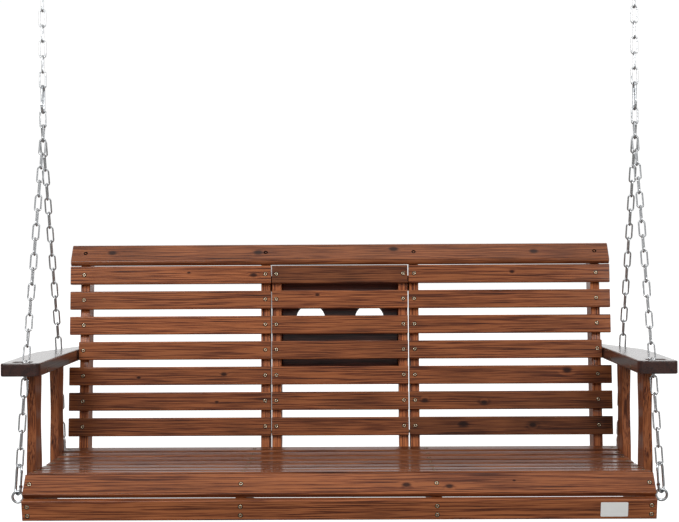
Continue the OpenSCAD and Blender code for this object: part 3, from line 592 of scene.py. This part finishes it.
def screwSurface():
    # Turned rings about the screw's own axis, as (radius, height, darkening). The recess is a cross: its rim
    # is as far out as the nearer of the cross's two bars lets it be, and its walls close in downwards.
    # The recess and the dark ring round the head at the countersink's rim are darkened as painted shade, with
    # some stain gathered there.
    turn = np.linspace(0, 2 * math.pi, screwShape["around"], endpoint=False)
    bar = np.minimum(screwShape["recess"], screwShape["arm"] / np.maximum(
        np.minimum(np.abs(np.sin(turn)), np.abs(np.cos(turn))), 0.25))
    head, proud, rim, deep = (screwShape[k] for k in ("head", "proud", "rim", "deep"))
    rings = [(0.5 * head, -0.002, 1), (rim * head, -0.0001, 1), (rim * head, 0.0001, 1),
             (head * 1.02, 0.00015, 1), (head, 0.0003, 0), (head * 0.96, proud * 0.8, 0),
             (head * 0.88, proud, 0), (bar * 1.12, proud, 0), (bar, proud - 0.0003, 1),
             (bar * 0.55, -deep, 1), (bar * 0.1, -deep - 0.0004, 1)]
    points = np.stack([np.stack([r * np.cos(turn), r * np.sin(turn), np.full(len(turn), z)], 1)
                       for r, z, d in rings])
    rows, count = points.shape[:2]
    i, j = np.meshgrid(np.arange(rows - 1), np.arange(count), indexing="ij")
    here, beside = i * count + j, i * count + (j + 1) % count
    quads = np.stack([here, beside, beside + count, here + count], -1).reshape(-1, 4).tolist()
    last = (rows - 1) * count
    caps = [list(range(count))[::-1], [last + k for k in range(count)]]
    return points.reshape(-1, 3), quads + caps, np.repeat([float(d) for r, z, d in rings], count)


def screwPiece(node, material):
    shape, faces, stainAndShade = screwSurface()
    points, allFaces, stainsAndShades = [], [], []
    for k, solid in enumerate(separateSolids(*mergedMesh(node))):
        middle = solid.mean(0)
        axis = np.linalg.svd(solid - middle, full_matrices=False)[2][0]
        place = (solid - middle) @ axis
        off = np.linalg.norm(solid - middle - place[:, None] * axis, axis=1)
        if off[place > 0].max() < off[place < 0].max():
            axis, place = -axis, -place
        foot = (solid.max(0) + solid.min(0)) / 2
        foot = foot + axis * (place.max() - (foot - middle) @ axis - screwShape["proud"])
        side = np.cross(axis, (0.0, 0.6, 0.8) if abs(axis[0]) > 0.5 else (1.0, 0.0, 0.0))
        side = side / np.linalg.norm(side)
        spin = dice.uniform(0, math.pi)
        other = np.cross(axis, side)
        first = math.cos(spin) * side + math.sin(spin) * other
        second = math.cos(spin) * other - math.sin(spin) * side
        points.append(foot + shape @ np.stack([first, second, axis]))
        allFaces += [[c + k * len(shape) for c in face] for face in faces]
        # the cap rail's screws are stained all over; the others keep only the painted shade in their recess and
        # rim
        stainsAndShades.append(np.ones(len(shape)) if middle[2] > screwShape["stainedAbove"] else stainAndShade)
    return newPiece(node + "_steel", np.concatenate(points), allFaces, node, material,
                    {"stainAndShade": np.concatenate(stainsAndShades)})


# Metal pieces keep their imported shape: these have a rounded edge of this width
metalRound = {"frame_bolts": 0.0006, "frame_nuts": 0.0007, "eye_bolt_nuts": 0.0007,
              "console_hinge_bolts": 0.0006}


def metalPiece(node, material):
    points, faces = cleanCopy(node, node in metalRound)
    piece = newPiece(node + "_steel", points, faces, node, material)
    if node in metalRound:
        roundedEdges(piece, metalRound[node], 2)
    else:
        piece.data.set_sharp_from_angle(angle=math.radians(40))
    return piece


woodKinds = {"left_outer_joist": "joist", "left_inner_joist": "joist", "right_inner_joist": "joist",
             "right_outer_joist": "joist", "left_outer_post": "post", "left_inner_post": "post",
             "right_inner_post": "post", "right_outer_post": "post", "left_console_stile": "stile",
             "right_console_stile": "stile", "left_front_support": "support", "left_rear_support": "support",
             "right_front_support": "support", "right_rear_support": "support", "console_table": "table",
             "console_stop_rail": "rail"}
# How light each sawn piece is. The posts, stiles and table are lightened as painted light, for the shade they
# stand in behind the slats; the table partly also for its own lighter colour
sawnTonesAndLight = {"joist": 0.0, "post": 0.5, "stile": 0.7, "support": 0.0, "table": 2.2, "rail": 0.2}
boardNodes = [n for n in nodes if n.startswith("seat_slat") or n in tones]

# The stained materials are made after the boards, because the knots' places come from them
blank = bpy.data.materials.new("unfinished")
woodPieces = [(boardPiece(n, blank), n) for n in sorted(boardNodes)]
woodPieces += [(sawnPiece(n, kind, blank, sawnTonesAndLight[kind]), n) for n, kind in woodKinds.items()]
woodPieces += [(armPiece(n, side, blank, 0.0), n) for n, side in (("left_arm", -1), ("right_arm", 1))]
print("wooden pieces:", len(woodPieces), "knots:", len(knotPlaces))

woodMaterials = {"red_brown_stained_wood": stainedFir("redStainedFir", redStain, knotPlaces),
                 "dark_stained_wood": stainedFir("darkStainedFir", darkStain, [])}
for piece, node in woodPieces:
    piece.data.materials[0] = woodMaterials[slotOf[node]]
bpy.data.materials.remove(blank)

metals = {slot: coatedSteel(finish) for slot, finish in metalFinish.items()}
metalNodes = [n for n in nodes if slotOf[n] in metals]
for node in sorted(metalNodes):
    if node.endswith("screws"):
        screwPiece(node, metals[slotOf[node]])
    else:
        metalPiece(node, metals[slotOf[node]])
plate = enamelledPlate()
for slot in nodes["name_plate"].material_slots:
    slot.material = plate
print("metal pieces:", len(metalNodes))


# The floor glows least in a pool under the bench, and as the white room does from its rim outwards.
# As light, the room has the strength "room" up to the bench and "behind" from there backwards
studio = {"floorZ": -1.574, "floorReach": 30, "floor": "#8c8c8a", "floorGlow": 0.45, "floorRoughness": 0.9,
          "poolStretch": (0.8, 1, 0), "pool": (0.7, 1.35), "white": 1.02,
          "room": 0.30, "behind": 1.0, "behindRange": (0.0, 0.7)}
softboxes = {
    "keySoftbox": {"place": (-1.8, -3.2, 1.0), "target": (0, 0, -0.9), "size": (2.2, 1.6), "power": 62},
    "fillSoftbox": {"place": (2.0, -3.2, 0.6), "target": (0, 0, -1.0), "size": (1.6, 1.6), "power": 36},
    "topSoftbox": {"place": (0, -0.6, 1.8), "target": (0, -0.1, -1.0), "size": (3.0, 1.4), "power": 12},
}


def stageFloor():
    # a pale floor that runs into the white of the room, as a curved paper sweep does
    mesh = bpy.data.meshes.new("floor")
    z, far = studio["floorZ"], studio["floorReach"]
    mesh.from_pydata([(-far, -far, z), (far, -far, z), (far, far, z), (-far, far, z)], [], [(0, 1, 2, 3)])
    floor = bpy.data.objects.new("floor", mesh)
    bpy.context.scene.collection.objects.link(floor)
    material = newMaterial("paperSweep")
    tree = material.node_tree
    place = addNode(tree, "TexCoord").outputs["Object"]
    distance = vectorLength(tree, vectorMath(tree, "MULTIPLY", place, studio["poolStretch"]))
    fade = ramp(tree, distance, *studio["pool"], studio["floorGlow"], 1.0, smooth=True)
    seen = addNode(tree, "LightPath").outputs["Is Camera Ray"]
    glow = calculate(tree, "MULTIPLY", calculate(tree, "MULTIPLY", fade, seen), studio["white"])
    paper = addNode(tree, "BsdfPrincipled", None, {
        "Base Color": hexColour(studio["floor"]), "Roughness": studio["floorRoughness"],
        "Emission Color": (1, 1, 1, 1), "Emission Strength": glow})
    addNode(tree, "OutputMaterial", None, {"Surface": paper.outputs[0]})
    mesh.materials.append(material)


def studioRoom():
    # white all round for the eye, and brighter behind the bench than in front of it as light
    world = bpy.data.worlds.new("studioRoom")
    bpy.context.scene.world = world
    world.use_nodes = True
    tree = world.node_tree
    tree.nodes.clear()
    where = addNode(tree, "TexCoord").outputs["Generated"]
    parts = addNode(tree, "SeparateXYZ", None, {0: where})
    light = ramp(tree, parts.outputs["Y"], *studio["behindRange"], studio["room"], studio["behind"],
                 smooth=True)
    seen = addNode(tree, "LightPath").outputs["Is Camera Ray"]
    strength = addNode(tree, "Mix", None, {0: seen, 2: light, 3: studio["white"]})
    back = addNode(tree, "Background", None, {"Color": (1, 1, 1, 1), "Strength": strength.outputs[0]})
    addNode(tree, "OutputWorld", None, {"Surface": back.outputs[0]})


def addSoftbox(name, place, target, size, power):
    data = bpy.data.lights.new(name, "AREA")
    data.shape, data.size, data.size_y, data.energy = "RECTANGLE", size[0], size[1], power
    lamp = bpy.data.objects.new(name, data)
    bpy.context.scene.collection.objects.link(lamp)
    lamp.location = place
    lamp.rotation_euler = (Vector(target) - Vector(place)).to_track_quat("-Z", "Y").to_euler()


bpy.context.scene.view_settings.view_transform = "Standard"  # white paper stays white
stageFloor()
studioRoom()
for name, box in softboxes.items():
    addSoftbox(name, **box)
print("studio lit")
